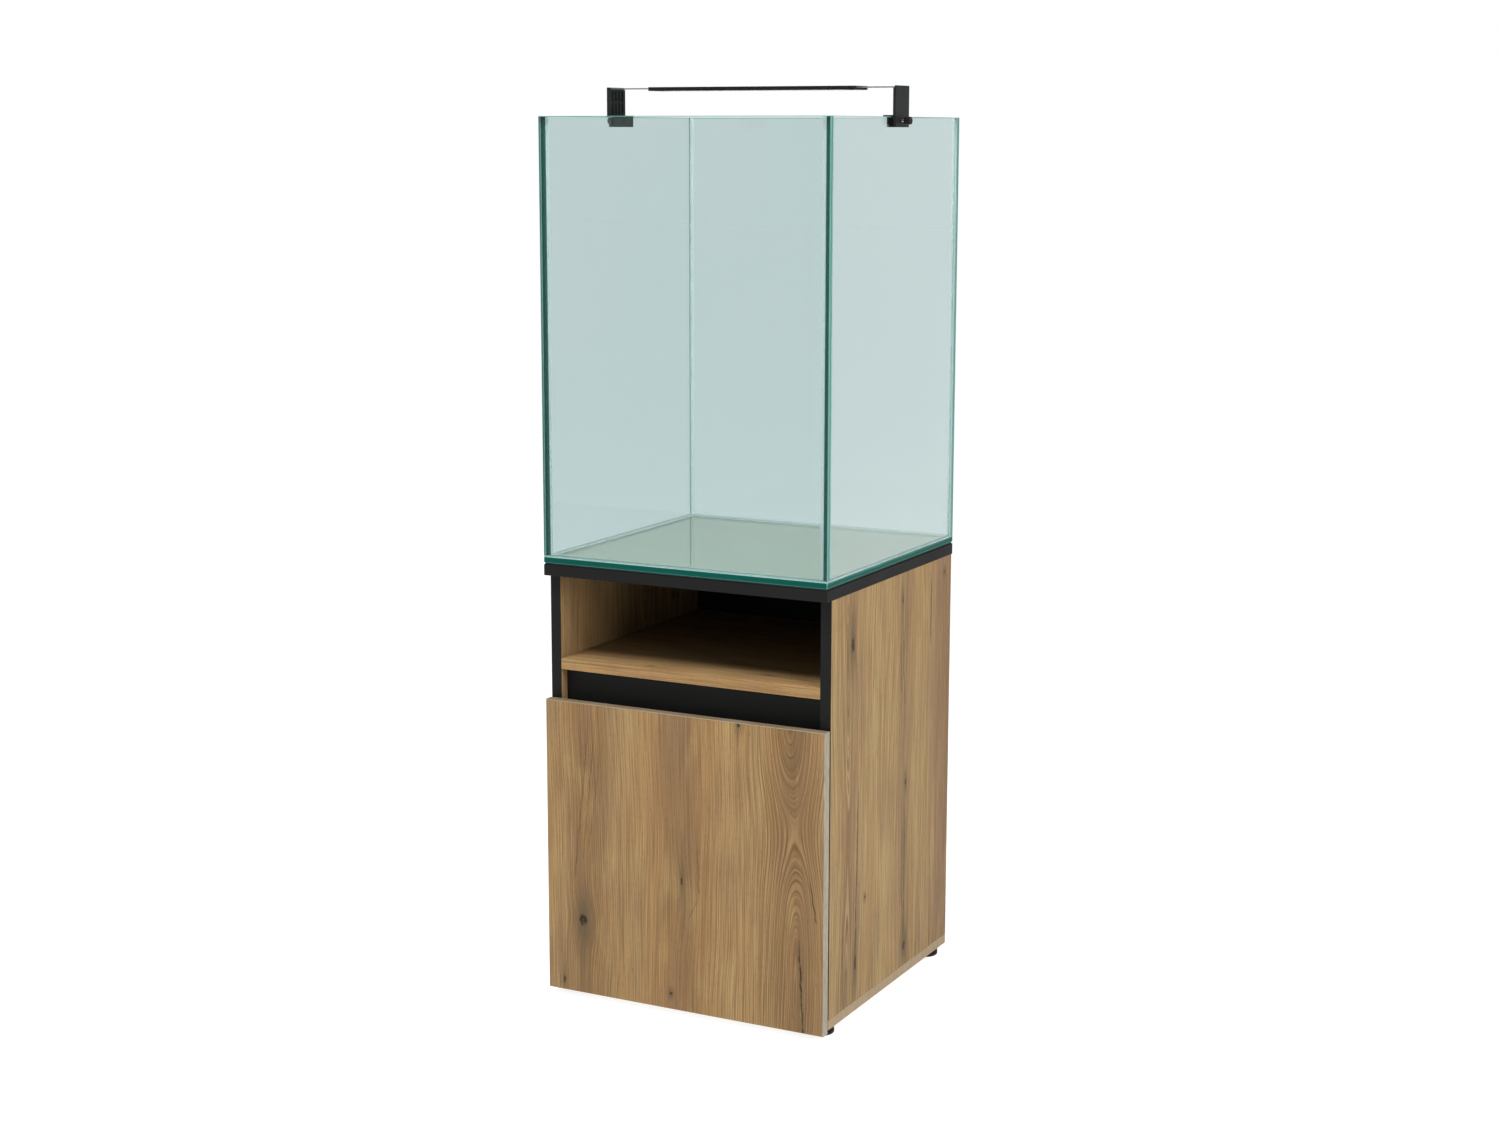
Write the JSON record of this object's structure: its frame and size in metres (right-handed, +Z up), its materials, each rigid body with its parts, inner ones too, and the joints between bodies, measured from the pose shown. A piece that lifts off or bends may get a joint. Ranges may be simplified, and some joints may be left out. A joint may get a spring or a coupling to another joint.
{
  "type": "aquarium stand cabinet",
  "caption": "Narrow oak-look cabinet with an open niche and a hinged door, carrying an open-topped rimless glass tank with a clip-on light bar.",
  "frame": {"origin": "on the floor, at the middle of the object's outline seen from above", "axes": "+Z up, +X to the right as seen from the front, the door faces -Y"},
  "size_m": [0.542, 0.491, 1.4646],
  "materials": {
    "oak_laminate": "satin oak-grain laminate on board, with knots and fine dark pores",
    "light_edge_band": "satin light grey-beige edge",
    "black_laminate": "matte black laminate",
    "float_glass": "polished clear float glass with green edges",
    "silicone": "translucent clear silicone",
    "foam": "pale closed-cell foam",
    "black_plastic": "fine-textured black moulding",
    "black_anodised": "black anodised extrusion",
    "bare_aluminium": "brushed bare aluminium",
    "nickelled_steel": "nickel-plated pressed steel",
    "thumbscrew_plastic": "black fluted knob on a steel thread",
    "opal_diffuser": "opal acrylic",
    "circuit_board": "white solder mask",
    "white_nylon": "natural nylon"
  },
  "bodies": {
    "cabinet": {"top_board": "black_laminate", "bottom_board": "light_edge_band", "niche_shelf": "oak_laminate", "grip_rail": "black_laminate", "back_panel": "black_laminate", "side_panel_left": "oak_laminate", "side_panel_right": "oak_laminate", "edge_band_left": "black_laminate", "edge_band_right": "black_laminate", "foot_front_left": "black_plastic", "foot_front_right": "black_plastic", "foot_back_left": "black_plastic", "foot_back_right": "black_plastic", "foot_screw_front_left": "nickelled_steel", "foot_screw_front_right": "nickelled_steel", "foot_screw_back_left": "nickelled_steel", "foot_screw_back_right": "nickelled_steel", "hinge_plate_upper": "nickelled_steel", "hinge_plate_lower": "nickelled_steel", "hinge_arm_upper": "nickelled_steel", "hinge_arm_lower": "nickelled_steel", "hinge_screw_upper_top": "nickelled_steel", "hinge_screw_upper_bottom": "nickelled_steel", "hinge_screw_lower_top": "nickelled_steel", "hinge_screw_lower_bottom": "nickelled_steel", "foam_mat": "foam"},
    "door": {"door_panel": "oak_laminate", "door_edge_band": "light_edge_band", "hinge_cup_upper": "nickelled_steel", "hinge_cup_lower": "nickelled_steel", "door_bumper_top": "silicone", "door_bumper_bottom": "silicone"},
    "tank": {"tank_bottom_pane": "float_glass", "tank_front_pane": "float_glass", "tank_back_pane": "float_glass", "tank_left_pane": "float_glass", "tank_right_pane": "float_glass", "floor_bead": "silicone", "corner_bead_front_left": "silicone", "corner_bead_front_right": "silicone", "corner_bead_back_left": "silicone", "corner_bead_back_right": "silicone"},
    "light_brackets": {"light_bracket_left": "black_plastic", "light_bracket_right": "black_plastic"},
    "light_tabs": {"light_tab_left": "bare_aluminium", "light_tab_right": "bare_aluminium"},
    "light_bar": {"light_housing": "black_anodised", "light_end_cap_left": "black_plastic", "light_end_cap_right": "black_plastic", "light_diffuser": "opal_diffuser", "led_board": "circuit_board"},
    "screw_tip_left": {"thumbscrew_tip_left": "white_nylon"},
    "screw_tip_right": {"thumbscrew_tip_right": "white_nylon"},
    "screw_left": {"thumbscrew_left": "thumbscrew_plastic"},
    "screw_right": {"thumbscrew_right": "thumbscrew_plastic"}
  },
  "joints": [
    {"name": "door_hinge", "type": "hinge", "parent": "cabinet", "child": "door", "pos_m": [-0.249, -0.2455, 0.2525], "axis": [0, 0, -1], "range_deg": [0, 110]},
    {"name": "tank_lift", "type": "slide", "parent": "cabinet", "child": "tank", "axis": [0, 0, 1], "range_m": [0, 0.3]},
    {"name": "bracket_slide", "type": "slide", "parent": "tank", "child": "light_brackets", "axis": [0, 1, 0], "range_m": [-0.19, 0.19]},
    {"name": "light_lift", "type": "slide", "parent": "light_brackets", "child": "light_tabs", "axis": [0, 0, 1], "range_m": [0, 0.06]},
    {"name": "bar_shift", "type": "slide", "parent": "light_tabs", "child": "light_bar", "axis": [1, 0, 0], "range_m": [-0.018, 0.012]},
    {"name": "screw_advance_left", "type": "slide", "parent": "light_brackets", "child": "screw_tip_left", "axis": [-1, 0, 0], "range_m": [0, 0.003]},
    {"name": "screw_advance_right", "type": "slide", "parent": "light_brackets", "child": "screw_tip_right", "axis": [1, 0, 0], "range_m": [0, 0.003]},
    {"name": "screw_turn_left", "type": "hinge", "parent": "screw_tip_left", "child": "screw_left", "pos_m": [-0.256, 0.0005, 1.4116], "axis": [-1, 0, 0], "range_deg": [0, 1350.1]},
    {"name": "screw_turn_right", "type": "hinge", "parent": "screw_tip_right", "child": "screw_right", "pos_m": [0.256, 0.0005, 1.4116], "axis": [1, 0, 0], "range_deg": [0, 1350.1]}
  ],
  "couplings": [
    {"joint": "screw_turn_left", "follows": "screw_advance_left", "rad_per_m": 7854},
    {"joint": "screw_turn_right", "follows": "screw_advance_right", "rad_per_m": 7854}
  ]
}
